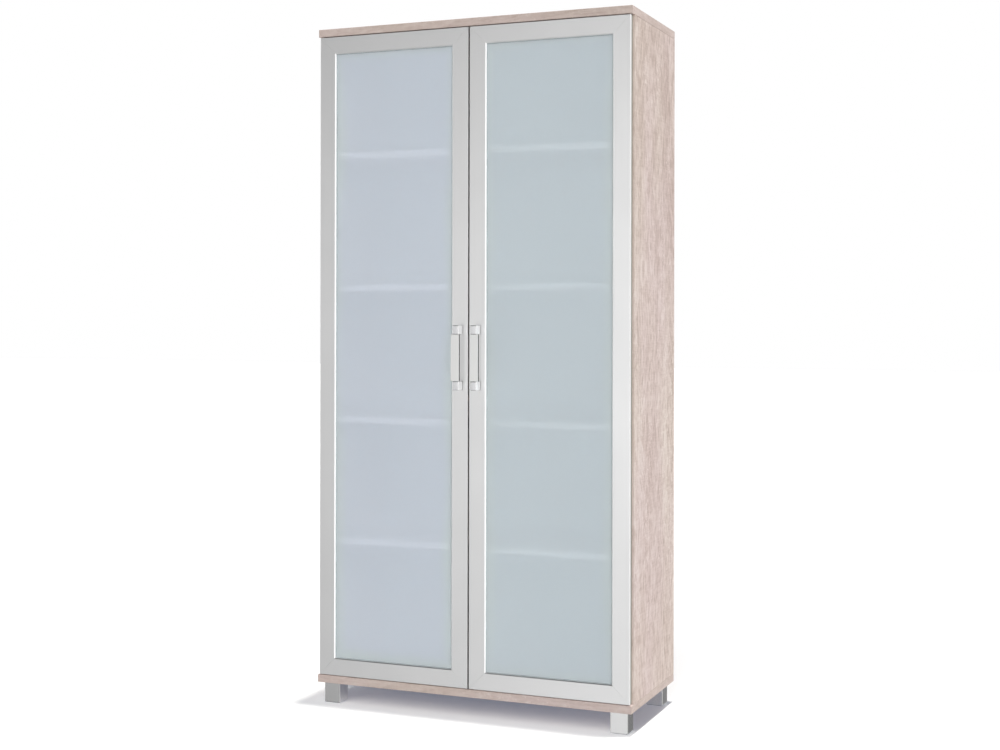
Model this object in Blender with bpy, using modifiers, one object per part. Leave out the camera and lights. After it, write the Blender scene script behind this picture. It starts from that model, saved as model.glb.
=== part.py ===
# Two-door glazed wall unit: a laminate cabinet on four square feet, with aluminium frame doors
# on concealed hinges, frosted panes, bow handles and four shelves. Metres, +Z up, front towards -Y,
# origin on the floor under the middle of the whole footprint.

import math

import bmesh
import bpy
from mathutils import Matrix, Vector

# Clearances.
fit_gap = 0.0003
overrun = 0.004

# Body.
body_width = 0.955
body_depth = 0.410
body_height = 1.900
board_thickness = 0.022
side_thickness = 0.018
board_edge_radius = 0.0008
back_thickness = 0.003
back_inset = 0.012
back_groove_depth = 0.008

# Feet.
foot_side = 0.050
foot_height = 0.060
foot_inset = 0.015
foot_wall = 0.003
foot_floor = 0.004
foot_edge_radius = 0.0015
foot_boss_radius = 0.007
foot_pad_inset = 0.003
foot_pad_height = 0.001

# Shelves and their supports, on a row of holes at a fixed pitch.
shelf_thickness = 0.018
shelf_setback = 0.008
shelf_back_gap = 0.002
shelf_side_gap = 0.001
lowest_shelf_height = 0.381
hole_pitch = 0.032
shelf_hole_steps = (0, 11, 23, 35)
fixed_shelf_index = 2
spare_holes_each_way = 1
row_inset = 0.037
support_length = 0.014
support_width = 0.011
support_plate = 0.0016
support_drop = 0.012
support_peg_radius = 0.0025
support_peg_length = 0.008
support_peg_drop = 0.007
hole_end_room = 0.001

# Doors, made of one hollow profile mitred at the corners.
profile_width = 0.050
profile_thickness = 0.020
profile_wall = 0.002
profile_edge_radius = 0.001
profile_rim = 0.0025
slot_depth = 0.008
door_side_inset = 0.006
door_end_gap = 0.002
door_back_gap = 0.002
meeting_gap = 0.004
glass_thickness = 0.004
glass_recess = 0.006
glass_edge_room = 0.0015

# Concealed hinges. Places across the door are counted from its hinged edge, and places in depth
# from its back face, forward into the cup.
hinge_end_distance = 0.100
cup_centre_inset = 0.022
cup_radius = 0.0175
cup_depth = 0.0125
cup_wall = 0.0012
cup_collar_radius = 0.0195
cup_collar_thickness = 0.0009
cup_wing_width = 0.011
cup_wing_reach = 0.029
cup_wing_offset = 0.0095
cup_wing_thickness = 0.0007
cup_pivot_inset = 0.010
cup_pivot_depth = 0.004
arm_pivot_inset = 0.0297
arm_pivot_depth = 0.0075
pivot_pin_radius = 0.0012
link_eye_radius = 0.0024
link_thickness = 0.0030
link_width = 0.0114
link_bow = 0.003
arm_thickness = 0.0044
arm_nose_radius = 0.0024
arm_ear = 0.0030
arm_fork_radius = 0.007
arm_knee_radius = 0.004
arm_knee_setback = 0.007
arm_length = 0.060
plate_thickness = 0.0025
plate_length = 0.052
plate_width = 0.016
plate_end_width = 0.013
plate_front_setback = 0.016
plate_wing_reach = 0.024
plate_wing_width = 0.014
plate_corner_radius = 0.003

# Handles.
handle_length = 0.181
handle_post_height = 0.025
handle_post_width = 0.019
handle_reach = 0.030
handle_edge_radius = 0.002
grip_width = 0.023
grip_thickness = 0.009
grip_proud = 0.001
grip_edge_radius = 0.0015
tenon_width = 0.012
tenon_thickness = 0.004
tenon_length = 0.007

# Roundness of curved outlines, in steps.
corner_steps = 3
eye_steps = 8
hole_steps = 12
cup_steps = 24

# Places that follow from the sizes above.
total_depth = body_depth + handle_reach + grip_proud
front_y = handle_reach + grip_proud - total_depth / 2
back_y = front_y + body_depth
door_back_y = front_y + profile_thickness
side_front_y = door_back_y + door_back_gap
half_width = body_width / 2
inner_half_width = half_width - side_thickness
body_bottom = foot_height
body_top = body_bottom + body_height
floor_z = body_bottom + board_thickness
ceiling_z = body_top - board_thickness
back_panel_y = back_y - back_inset - back_thickness / 2
back_panel_front_y = back_panel_y - back_thickness / 2
groove_width = back_thickness + 2 * fit_gap
door_bottom = floor_z + door_end_gap
door_height = ceiling_z - door_end_gap - door_bottom
door_middle_z = door_bottom + door_height / 2
door_width = half_width - door_side_inset - meeting_gap / 2
slot_width = glass_thickness + 2 * fit_gap
shelf_undersides = [floor_z + lowest_shelf_height + step * hole_pitch for step in shelf_hole_steps]
fixed_shelf_underside = shelf_undersides[fixed_shelf_index]
next_shelf_top = shelf_undersides[fixed_shelf_index - 1] + shelf_thickness
# The middle hinge sits halfway between the fixed shelf and the one below, clear of both.
hinge_heights = {
    "top": door_bottom + door_height - hinge_end_distance,
    "middle": (next_shelf_top + fixed_shelf_underside) / 2,
    "bottom": door_bottom + hinge_end_distance,
}
hands = {"left": 1, "right": -1}


def clear_scene():
    for old in list(bpy.data.objects):
        bpy.data.objects.remove(old, do_unlink=True)


def new_collection(name):
    collection = bpy.data.collections.new(name)
    bpy.context.scene.collection.children.link(collection)
    return collection


clear_scene()
parts = new_collection("wall_unit")
cutters = new_collection("cutters")


def make_material(name, colour, roughness, metallic=0.0, transmission=0.0):
    material = bpy.data.materials.new(name)
    material.use_nodes = True
    shader = material.node_tree.nodes["Principled BSDF"]
    shader.inputs["Base Color"].default_value = (*colour, 1.0)
    shader.inputs["Roughness"].default_value = roughness
    shader.inputs["Metallic"].default_value = metallic
    shader.inputs["Transmission Weight"].default_value = transmission
    return material


oak = make_material("oak_laminate", (0.62, 0.50, 0.41), 0.55)
hardboard = make_material("hardboard", (0.70, 0.62, 0.54), 0.7)
aluminium = make_material("satin_aluminium", (0.60, 0.60, 0.60), 0.35, metallic=1.0)
frosted = make_material("frosted_glass", (0.62, 0.68, 0.72), 0.6, transmission=0.5)
bright = make_material("bright_metal", (0.75, 0.75, 0.76), 0.12, metallic=1.0)
matt_grip = make_material("matt_grip", (0.72, 0.72, 0.71), 0.45, metallic=1.0)
nickel = make_material("nickel_steel", (0.55, 0.55, 0.54), 0.3, metallic=1.0)


def add_object(name, mesh, material, collection=parts):
    made = bpy.data.objects.new(name, mesh)
    collection.objects.link(made)
    if material:
        mesh.materials.clear()
        mesh.materials.append(material)
    return made


def box(name, size, centre, material, collection=parts):
    """A box of the given size about its own middle, placed at centre."""
    mesh = bpy.data.meshes.new(name)
    shape = bmesh.new()
    bmesh.ops.create_cube(shape, size=1.0)
    bmesh.ops.scale(shape, vec=size, verts=shape.verts)
    shape.to_mesh(mesh)
    shape.free()
    made = add_object(name, mesh, material, collection)
    made.location = centre
    return made


def cylinder(name, radius, length, centre, axis, steps, material=None, collection=cutters):
    """A closed cylinder about its own middle, along X, Y or Z."""
    turns = {"X": Matrix.Rotation(math.pi / 2, 3, "Y"), "Y": Matrix.Rotation(math.pi / 2, 3, "X")}
    mesh = bpy.data.meshes.new(name)
    shape = bmesh.new()
    bmesh.ops.create_cone(
        shape, cap_ends=True, segments=steps, radius1=radius, radius2=radius, depth=length
    )
    if axis in turns:
        bmesh.ops.rotate(shape, matrix=turns[axis], verts=shape.verts)
    shape.to_mesh(mesh)
    shape.free()
    made = add_object(name, mesh, material, collection)
    made.location = centre
    return made


def as_cutter(piece):
    piece.hide_render = True
    piece.display_type = "WIRE"
    return piece


def combine(piece, tool, operation):
    """Joins to, or cuts from, a piece with another solid that is kept among the cutters."""
    modifier = piece.modifiers.new(tool.name, "BOOLEAN")
    modifier.operation = operation
    modifier.solver = "EXACT"
    modifier.object = as_cutter(tool)
    return piece


def round_edges(piece, radius, segments=1):
    modifier = piece.modifiers.new("round_edges", "BEVEL")
    modifier.width = radius
    modifier.segments = segments
    modifier.limit_method = "ANGLE"
    return piece


def settled_mesh(piece):
    """The piece's shape with its modifiers worked in, as a mesh of its own."""
    bpy.context.view_layer.update()
    graph = bpy.context.evaluated_depsgraph_get()
    return bpy.data.meshes.new_from_object(piece.evaluated_get(graph), depsgraph=graph)


def arc(centre, radius, start, end, steps):
    turn = (end - start) / steps
    return [
        (
            centre[0] + radius * math.cos(start + turn * step),
            centre[1] + radius * math.sin(start + turn * step),
        )
        for step in range(steps + 1)
    ]


def circle(centre, radius, steps):
    return arc(centre, radius, 0.0, 2 * math.pi, steps)[:-1]


def rounded(corners, steps=corner_steps):
    """An outline through corners given as (x, y, radius), each turned into an arc."""
    outline = []
    for index, (x, y, radius) in enumerate(corners):
        here = Vector((x, y))
        before = Vector(corners[index - 1][:2]) - here
        after = Vector(corners[(index + 1) % len(corners)][:2]) - here
        if not radius:
            outline.append((x, y))
            continue
        before.normalize()
        after.normalize()
        half_angle = before.angle(after) / 2
        middle = (before + after).normalized()
        centre = here + middle * (radius / math.sin(half_angle))
        first = here + before * (radius / math.tan(half_angle)) - centre
        last = here + after * (radius / math.tan(half_angle)) - centre
        start = math.atan2(first.y, first.x)
        sweep = math.atan2(first.x * last.y - first.y * last.x, first.dot(last))
        outline += arc(centre, radius, start, start + sweep, steps)
    return outline


def outline_solid(name, loops, thickness, material, collection=parts):
    """A flat outline, with holes for its further loops, given a thickness along local Z."""
    curve = bpy.data.curves.new(name, "CURVE")
    curve.dimensions = "2D"
    curve.fill_mode = "BOTH"
    curve.extrude = thickness / 2
    for loop in loops:
        spline = curve.splines.new("POLY")
        spline.points.add(len(loop) - 1)
        for point, (x, y) in zip(spline.points, loop):
            point.co = (x, y, 0.0, 1.0)
        spline.use_cyclic_u = True
    drawn = bpy.data.objects.new(name + "_outline", curve)
    parts.objects.link(drawn)
    mesh = settled_mesh(drawn)
    bpy.data.objects.remove(drawn)
    shape = bmesh.new()
    shape.from_mesh(mesh)
    bmesh.ops.remove_doubles(shape, verts=shape.verts, dist=fit_gap / 100)
    bmesh.ops.recalc_face_normals(shape, faces=shape.faces)
    shape.to_mesh(mesh)
    shape.free()
    mesh.name = name
    return add_object(name, mesh, material, collection)


def attach(piece, axis):
    """Parents a piece to an axis empty without moving it."""
    bpy.context.view_layer.update()
    piece.parent = axis
    piece.matrix_parent_inverse = axis.matrix_world.inverted()
    return piece


def axis_empty(name, place, parent=None):
    empty = bpy.data.objects.new(name, None)
    empty.location = place
    parts.objects.link(empty)
    return attach(empty, parent) if parent else empty


def build_boards():
    """Top and bottom boards, flush with the doors in front and grooved for the back panel."""
    groove_length = 2 * (inner_half_width + back_groove_depth)
    groove_z = {"top_board": ceiling_z, "bottom_board": floor_z}
    middle_z = {
        "top_board": body_top - board_thickness / 2,
        "bottom_board": body_bottom + board_thickness / 2,
    }
    for name, z in middle_z.items():
        board = box(
            name,
            (body_width, body_depth, board_thickness),
            (0.0, front_y + body_depth / 2, z),
            oak,
        )
        round_edges(board, board_edge_radius)
        groove = box(
            name + "_groove",
            (groove_length, groove_width, 2 * back_groove_depth),
            (0.0, back_panel_y, groove_z[name]),
            None,
            cutters,
        )
        combine(board, groove, "DIFFERENCE")


def support_z(index):
    """Height of the support holes' middle line under a shelf."""
    return shelf_undersides[index] - fit_gap - support_peg_drop


def support_rows():
    """The two lines of support holes: one behind the front edge, one before the back panel."""
    return {"front": side_front_y + row_inset, "back": back_panel_front_y - row_inset}


def adjustable_shelves():
    return [index for index in range(len(shelf_hole_steps)) if index != fixed_shelf_index]


def build_sides():
    """Side panels with the back panel's groove and the drilled support holes."""
    depth = back_y - side_front_y
    height = ceiling_z - floor_z - 2 * fit_gap
    hole_depth = support_peg_length + hole_end_room
    for side, hand in hands.items():
        x = -hand * (half_width - side_thickness / 2)
        inner_x = -hand * inner_half_width
        name = "side_panel_" + side
        panel = box(
            name,
            (side_thickness, depth, height),
            (x, side_front_y + depth / 2, (floor_z + ceiling_z) / 2),
            oak,
        )
        round_edges(panel, board_edge_radius)
        groove = box(
            name + "_groove",
            (2 * back_groove_depth, groove_width, height + 2 * overrun),
            (inner_x, back_panel_y, (floor_z + ceiling_z) / 2),
            None,
            cutters,
        )
        combine(panel, groove, "DIFFERENCE")
        drill = bmesh.new()
        for index in adjustable_shelves():
            for step in range(-spare_holes_each_way, spare_holes_each_way + 1):
                for row_y in support_rows().values():
                    bmesh.ops.create_cone(
                        drill,
                        cap_ends=True,
                        segments=hole_steps,
                        radius1=support_peg_radius + fit_gap,
                        radius2=support_peg_radius + fit_gap,
                        depth=2 * hole_depth,
                        matrix=Matrix.Translation(
                            (inner_x, row_y, support_z(index) + step * hole_pitch)
                        )
                        @ Matrix.Rotation(math.pi / 2, 4, "Y"),
                    )
        mesh = bpy.data.meshes.new(name + "_drill")
        drill.to_mesh(mesh)
        drill.free()
        combine(panel, add_object(name + "_drill", mesh, None, cutters), "DIFFERENCE")


def build_back():
    """Thin back panel let into the grooves of the sides and boards."""
    reach = back_groove_depth - fit_gap
    box(
        "back_panel",
        (
            2 * (inner_half_width + reach),
            back_thickness,
            ceiling_z - floor_z + 2 * reach,
        ),
        (0.0, back_panel_y, (floor_z + ceiling_z) / 2),
        hardboard,
    )


def build_shelves():
    """Three adjustable shelves and the fixed one, which meets both side panels."""
    shelf_front_y = side_front_y + shelf_setback
    depth = back_panel_front_y - shelf_back_gap - shelf_front_y
    for index in range(len(shelf_hole_steps)):
        fixed = index == fixed_shelf_index
        side_gap = fit_gap if fixed else shelf_side_gap
        name = f"shelf_{index + 1}_fixed" if fixed else f"shelf_{index + 1}"
        shelf = box(
            name,
            (2 * (inner_half_width - side_gap), depth, shelf_thickness),
            (0.0, shelf_front_y + depth / 2, shelf_undersides[index] + shelf_thickness / 2),
            oak,
        )
        round_edges(shelf, board_edge_radius)


def support_mesh(hand):
    """A gusseted bracket with a peg, its back against the panel and its top at local zero."""
    corners = [
        (0.0, 0.0, 0.0),
        (hand * support_length, 0.0, 0.0),
        (hand * support_length, -support_plate, 0.0),
        (hand * support_plate, -support_drop, 0.0),
        (0.0, -support_drop, 0.0),
    ]
    bracket = outline_solid("support_bracket", [rounded(corners)], support_width, nickel)
    bracket.rotation_euler = (math.pi / 2, 0.0, 0.0)
    peg = cylinder(
        "support_peg",
        support_peg_radius,
        support_peg_length + support_plate,
        (-hand * (support_peg_length - support_plate) / 2, 0.0, -support_peg_drop),
        "X",
        hole_steps,
        nickel,
    )
    combine(bracket, peg, "UNION")
    mesh = settled_mesh(bracket)
    mesh.transform(bracket.matrix_world)
    bpy.data.objects.remove(bracket)
    bpy.data.objects.remove(peg)
    return mesh


def build_supports():
    """Four supports under each adjustable shelf, pegged into the side panels."""
    for side, hand in hands.items():
        mesh = support_mesh(hand)
        for index in adjustable_shelves():
            for row, row_y in support_rows().items():
                support = add_object(f"shelf_{index + 1}_support_{row}_{side}", mesh, nickel)
                support.location = (
                    -hand * (inner_half_width - fit_gap),
                    row_y,
                    shelf_undersides[index] - fit_gap,
                )


def build_feet():
    """Square feet, hollow from above with a fixing boss, each on a slightly smaller pad."""
    height = foot_height - fit_gap
    shell = box(
        "foot_shell",
        (foot_side, foot_side, height - foot_pad_height),
        (0.0, 0.0, (height + foot_pad_height) / 2),
        aluminium,
        cutters,
    )
    round_edges(shell, foot_edge_radius, 2)
    inner_side = foot_side - 2 * foot_wall
    hollow = box(
        "foot_hollow",
        (inner_side, inner_side, height),
        (0.0, 0.0, foot_floor + height / 2),
        None,
        cutters,
    )
    combine(shell, hollow, "DIFFERENCE")
    boss_bottom = foot_floor / 2
    boss = cylinder(
        "foot_boss",
        foot_boss_radius,
        height - boss_bottom,
        (0.0, 0.0, (height + boss_bottom) / 2),
        "Z",
        hole_steps,
        aluminium,
    )
    combine(shell, boss, "UNION")
    pad_side = foot_side - 2 * foot_pad_inset
    pad = box(
        "foot_pad",
        (pad_side, pad_side, foot_floor / 2),
        (0.0, 0.0, foot_floor / 4),
        aluminium,
        cutters,
    )
    combine(shell, pad, "UNION")
    mesh = settled_mesh(shell)
    mesh.transform(shell.matrix_world)
    for tool in (shell, hollow, boss, pad):
        bpy.data.objects.remove(tool)
    reach_x = half_width - foot_inset - foot_side / 2
    reach_y = body_depth / 2 - foot_inset - foot_side / 2
    middle_y = front_y + body_depth / 2
    for side, hand in hands.items():
        for end, way in (("front", -1), ("back", 1)):
            foot = add_object(f"foot_{end}_{side}", mesh, aluminium)
            foot.location = (-hand * reach_x, middle_y + way * reach_y, 0.0)


def profile_loops():
    """Cross-section of the frame profile: across from its outer edge, and back from its face."""
    # The face slopes in towards the pane over a narrow rim.
    slot_front = glass_recess
    slot_back = slot_front + slot_width
    slot_bottom = profile_width - slot_depth
    outer = [
        (0.0, 0.0, profile_edge_radius),
        (profile_width - profile_rim, 0.0, profile_edge_radius),
        (profile_width, profile_rim, profile_edge_radius),
        (profile_width, slot_front, 0.0),
        (slot_bottom, slot_front, 0.0),
        (slot_bottom, slot_back, 0.0),
        (profile_width, slot_back, 0.0),
        (profile_width, profile_thickness, profile_edge_radius),
        (0.0, profile_thickness, profile_edge_radius),
    ]
    chamber_end = slot_bottom - profile_wall / 2
    chamber = [
        (profile_wall, profile_wall, 0.0),
        (chamber_end, profile_wall, 0.0),
        (chamber_end, profile_thickness - profile_wall, 0.0),
        (profile_wall, profile_thickness - profile_wall, 0.0),
    ]
    return [rounded(outer), rounded(chamber)]


def frame_profile(name, length, place, turn):
    """A length of profile with mitred ends: every end point slides in by its distance across."""
    profile = outline_solid(name, profile_loops(), length, aluminium)
    mitre_room = fit_gap * math.sqrt(0.5)
    for point in profile.data.vertices:
        end = length / 2 - point.co.x - mitre_room
        point.co.z = math.copysign(end, point.co.z)
    profile.location = place
    profile.rotation_euler = (0.0, turn, 0.0)
    return profile


def hinge_place(hand, inset, depth, z):
    """World place of a point given by its inset from a door's hinged edge and depth from its back."""
    return Vector((-hand * (half_width - door_side_inset - inset), door_back_y - depth, z))


def build_door_frame(side, hand):
    """Two stiles and two rails; the hinge stile is bored through its back wall for the cups."""
    outer_x = -hand * (half_width - door_side_inset)
    inner_x = -hand * meeting_gap / 2
    middle_x = (outer_x + inner_x) / 2
    facing = {1: 0.0, -1: math.pi}
    pieces = {
        "hinge_stile": (door_height, (outer_x, front_y, door_middle_z), facing[hand]),
        "meeting_stile": (door_height, (inner_x, front_y, door_middle_z), facing[-hand]),
        "bottom_rail": (door_width, (middle_x, front_y, door_bottom), -math.pi / 2),
        "top_rail": (door_width, (middle_x, front_y, door_bottom + door_height), math.pi / 2),
    }
    made = {}
    for piece, (length, place, turn) in pieces.items():
        made[piece] = frame_profile(f"{side}_door_{piece}", length, place, turn)
    bore_depth = profile_thickness / 2
    for level, z in hinge_heights.items():
        bore = cylinder(
            f"{side}_{level}_cup_bore",
            cup_radius + fit_gap,
            bore_depth + overrun,
            hinge_place(hand, cup_centre_inset, (bore_depth - overrun) / 2, z),
            "Y",
            cup_steps,
        )
        combine(made["hinge_stile"], bore, "DIFFERENCE")
    return list(made.values())


def build_glass(side, hand):
    """The pane, held in the profile slots with room at its edges."""
    edge = profile_width - slot_depth + glass_edge_room
    middle_x = -hand * (meeting_gap / 2 + door_width / 2)
    pane = box(
        f"{side}_door_glass",
        (door_width - 2 * edge, glass_thickness, door_height - 2 * edge),
        (middle_x, front_y + glass_recess + slot_width / 2, door_middle_z),
        frosted,
    )
    return [pane]


def build_handle(side, hand):
    """A flat grip whose tenons seat in two end posts, on the middle of the meeting stile."""
    x = -hand * (meeting_gap / 2 + profile_width / 2)
    grip_length = handle_length - 2 * (handle_post_height + fit_gap)
    grip_y = front_y - handle_reach - grip_proud + grip_thickness / 2
    grip = box(
        f"{side}_handle_grip",
        (grip_width, grip_thickness, grip_length),
        (x, grip_y, door_middle_z),
        matt_grip,
    )
    round_edges(grip, grip_edge_radius, 2)
    tenon_y = grip_y + grip_proud
    tenon = box(
        f"{side}_handle_tenon",
        (tenon_width, tenon_thickness, grip_length + 2 * tenon_length),
        (x, tenon_y, door_middle_z),
        matt_grip,
        cutters,
    )
    combine(grip, tenon, "UNION")
    made = [grip]
    post_reach = handle_reach - fit_gap
    post_offset = (handle_length - handle_post_height) / 2
    pocket_depth = tenon_length + fit_gap
    for end, way in (("top", 1), ("bottom", -1)):
        post = box(
            f"{side}_handle_{end}_post",
            (handle_post_width, post_reach, handle_post_height),
            (x, front_y - handle_reach + post_reach / 2, door_middle_z + way * post_offset),
            bright,
        )
        round_edges(post, handle_edge_radius, 2)
        mouth_z = door_middle_z + way * (handle_length / 2 - handle_post_height)
        pocket = box(
            f"{side}_handle_{end}_pocket",
            (
                tenon_width + 2 * fit_gap,
                tenon_thickness + 2 * fit_gap,
                2 * pocket_depth,
            ),
            (x, tenon_y, mouth_z),
            None,
            cutters,
        )
        combine(post, pocket, "DIFFERENCE")
        made.append(post)
    return made


def band_outline(path, half_thickness, start_eye, end_eye):
    """An outline round a centre line, swelling to an eye at its start and, if given, its end."""
    left = []
    right = []
    last = len(path) - 1
    for index, point in enumerate(path):
        ahead = path[min(index + 1, last)] - path[max(index - 1, 0)]
        across = Vector((-ahead.y, ahead.x)).normalized()
        widths = [half_thickness]
        for eye, end in ((start_eye, path[0]), (end_eye, path[last])):
            widths.append(math.sqrt(max(eye * eye - (point - end).length_squared, 0.0)))
        left.append(point + across * max(widths))
        right.append(point - across * max(widths))
    outline = [(point.x, point.y) for point in left]
    if end_eye:
        start = (left[last] - path[last]).to_2d()
        turn = math.atan2(start.y, start.x)
        outline += arc(path[last], end_eye, turn, turn - math.pi, eye_steps)[1:-1]
    outline += [(point.x, point.y) for point in reversed(right)]
    start = right[0] - path[0]
    turn = math.atan2(start.y, start.x)
    outline += arc(path[0], start_eye, turn, turn - math.pi, eye_steps)[1:-1]
    return outline


def bowed_path(start, end, bow, shares):
    """Points along a shallow curve from start to end that stands off the chord by bow."""
    chord = end - start
    across = Vector((-chord.y, chord.x)).normalized()
    return [start + chord * share + across * (4 * bow * share * (1 - share)) for share in shares]


def link_mesh(hand):
    """The bowed link in plan, its arm eye at the local origin."""
    cup_pivot = hinge_place(hand, cup_pivot_inset, cup_pivot_depth, 0.0).to_2d()
    arm_pivot = hinge_place(hand, arm_pivot_inset, arm_pivot_depth, 0.0).to_2d()
    path_shares = (0.0, 0.04, 0.08, 0.12, 0.3, 0.5, 0.7, 0.88, 0.92, 0.96, 1.0)
    path = bowed_path(Vector((0.0, 0.0)), cup_pivot - arm_pivot, hand * link_bow, path_shares)
    eye_hole_radius = pivot_pin_radius + fit_gap
    loops = [
        band_outline(path, link_thickness / 2, link_eye_radius, link_eye_radius),
        circle(path[0], eye_hole_radius, hole_steps),
        circle(path[-1], eye_hole_radius, hole_steps),
    ]
    link = outline_solid("link", loops, link_width, nickel)
    mesh = link.data
    bpy.data.objects.remove(link)
    return mesh


def arm_mesh(hand):
    """The cranked arm with its mounting plate, forked nose and pin, from the arm pivot."""
    pivot = hinge_place(hand, arm_pivot_inset, arm_pivot_depth, 0.0)
    plate_x = -hand * (inner_half_width - fit_gap - plate_thickness / 2)
    bar_x = -hand * (inner_half_width - fit_gap - plate_thickness - arm_thickness / 2)
    knee = Vector((bar_x, side_front_y + arm_knee_setback)) - pivot.to_2d()
    tail = knee + Vector((0.0, arm_length - arm_knee_setback))
    nose = Vector((0.0, 0.0))
    toward_nose = (nose - knee).normalized()
    toward_tail = (tail - knee).normalized()
    half_angle = toward_nose.angle(toward_tail) / 2
    tangent = arm_knee_radius / math.tan(half_angle)
    nose_shares = (0.0, 0.05, 0.1, 0.5)
    bend_start = knee + toward_nose * tangent
    bend_end = knee + toward_tail * tangent
    path = [bend_start * share for share in nose_shares]
    for step in range(corner_steps + 2):
        share = step / (corner_steps + 1)
        first = bend_start.lerp(knee, share)
        path.append(first.lerp(knee.lerp(bend_end, share), share))
    path.append(tail)
    width = link_width + 2 * (fit_gap + arm_ear)
    outline = band_outline(path, arm_thickness / 2, arm_nose_radius, 0.0)
    arm = outline_solid("arm", [outline], width, nickel)
    fork = cylinder(
        "arm_fork",
        arm_fork_radius,
        link_width + 2 * fit_gap,
        (0.0, 0.0, 0.0),
        "Z",
        cup_steps,
    )
    combine(arm, fork, "DIFFERENCE")
    pin = cylinder(
        "arm_pin",
        pivot_pin_radius,
        width - arm_ear,
        (0.0, 0.0, 0.0),
        "Z",
        hole_steps,
    )
    combine(arm, pin, "UNION")
    half_plate = plate_width / 2
    half_end = plate_end_width / 2
    half_wing = plate_wing_width / 2
    plate_front = side_front_y + plate_front_setback - pivot.y
    wing_y = side_front_y + row_inset - pivot.y
    corner = plate_corner_radius
    corners = [
        (plate_front, -half_end, corner),
        (wing_y - half_wing, -half_plate, corner),
        (wing_y - half_wing, -plate_wing_reach, corner),
        (wing_y + half_wing, -plate_wing_reach, corner),
        (wing_y + half_wing, -half_plate, corner),
        (plate_front + plate_length, -half_end, corner),
        (plate_front + plate_length, half_end, corner),
        (wing_y + half_wing, half_plate, corner),
        (wing_y + half_wing, plate_wing_reach, corner),
        (wing_y - half_wing, plate_wing_reach, corner),
        (wing_y - half_wing, half_plate, corner),
        (plate_front, half_end, corner),
    ]
    plate = outline_solid(
        "arm_plate", [rounded(corners)], plate_thickness + fit_gap, nickel, cutters
    )
    plate.matrix_world = Matrix.Translation(
        (plate_x - pivot.x + hand * fit_gap / 2, 0.0, 0.0)
    ) @ Matrix(((0, 0, 1, 0), (1, 0, 0, 0), (0, 1, 0, 0), (0, 0, 0, 1)))
    combine(arm, plate, "UNION")
    mesh = settled_mesh(arm)
    for tool in (arm, fork, pin, plate):
        bpy.data.objects.remove(tool)
    return mesh


def cup_mesh(hand):
    """The turned cup with collar, screw wings and pivot pin, about the centre of its mouth."""
    inner_radius = cup_radius - cup_wall
    collar_top = fit_gap + cup_collar_thickness
    profile = [
        (0.0, cup_wall - cup_depth),
        (inner_radius, cup_wall - cup_depth),
        (inner_radius, collar_top),
        (cup_collar_radius, collar_top),
        (cup_collar_radius, fit_gap),
        (cup_radius, fit_gap),
        (cup_radius, -cup_depth),
        (0.0, -cup_depth),
    ]
    mesh = bpy.data.meshes.new("cup_profile")
    points = [(x, 0.0, z) for x, z in profile]
    edges = [(index, index + 1) for index in range(len(profile) - 1)]
    mesh.from_pydata(points, edges, [])
    cup = add_object("cup", mesh, nickel)
    screw = cup.modifiers.new("turn", "SCREW")
    screw.steps = cup_steps
    screw.render_steps = cup_steps
    screw.use_merge_vertices = True
    screw.merge_threshold = fit_gap / 100
    turned = settled_mesh(cup)
    turned.transform(Matrix.Rotation(-math.pi / 2, 4, "X"))
    bpy.data.objects.remove(cup)
    cup = add_object("cup", turned, nickel)
    wing_root = inner_radius + cup_wall / 2
    wing_length = cup_wing_reach - wing_root
    wing_y = fit_gap + cup_collar_thickness / 2
    tools = []
    for way in (1, -1):
        wing = box(
            "cup_wing",
            (cup_wing_width, cup_wing_thickness, wing_length),
            (hand * cup_wing_offset, wing_y, way * (wing_root + wing_length / 2)),
            nickel,
            cutters,
        )
        combine(cup, wing, "UNION")
        tools.append(wing)
    pin_offset = cup_centre_inset - cup_pivot_inset
    pin_reach = math.sqrt((cup_radius - cup_wall / 2) ** 2 - pin_offset**2)
    pin = cylinder(
        "cup_pin",
        pivot_pin_radius,
        2 * pin_reach,
        (-hand * pin_offset, -cup_pivot_depth, 0.0),
        "Z",
        hole_steps,
    )
    combine(cup, pin, "UNION")
    mesh = settled_mesh(cup)
    for tool in (cup, pin, *tools):
        bpy.data.objects.remove(tool)
    return mesh


def build_hinges(side, hand, link_axis, door_axis):
    """Three concealed hinges: arm on the body, link between the pivots, cup in the door."""
    arm = arm_mesh(hand)
    link = link_mesh(hand)
    cup = cup_mesh(hand)
    for level, z in hinge_heights.items():
        placed = {
            "arm": (arm, hinge_place(hand, arm_pivot_inset, arm_pivot_depth, z)),
            "link": (link, hinge_place(hand, arm_pivot_inset, arm_pivot_depth, z)),
            "cup": (cup, hinge_place(hand, cup_centre_inset, 0.0, z)),
        }
        for piece, (mesh, place) in placed.items():
            made = add_object(f"{side}_{level}_hinge_{piece}", mesh, nickel)
            made.location = place
            if piece == "link":
                attach(made, link_axis)
            if piece == "cup":
                attach(made, door_axis)


def build_door(side, hand):
    """One door with its hinges, its pieces parented to the axis that they turn about."""
    link_axis = axis_empty(
        side + "_link_axis", hinge_place(hand, arm_pivot_inset, arm_pivot_depth, door_middle_z)
    )
    door_axis = axis_empty(
        side + "_door_axis",
        hinge_place(hand, cup_pivot_inset, cup_pivot_depth, door_middle_z),
        link_axis,
    )
    pieces = build_door_frame(side, hand) + build_glass(side, hand) + build_handle(side, hand)
    for piece in pieces:
        attach(piece, door_axis)
    build_hinges(side, hand, link_axis, door_axis)


build_boards()
build_sides()
build_back()
build_shelves()
build_supports()
build_feet()
for door_side, door_hand in hands.items():
    build_door(door_side, door_hand)
for built in parts.objects:
    if built.type == "MESH" and ("hinge_" in built.name or "support" in built.name):
        built.data.shade_smooth()
        built.data.set_sharp_from_angle(angle=math.radians(35))
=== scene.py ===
import math

import bmesh
import bpy
from mathutils import Matrix, Vector


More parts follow.
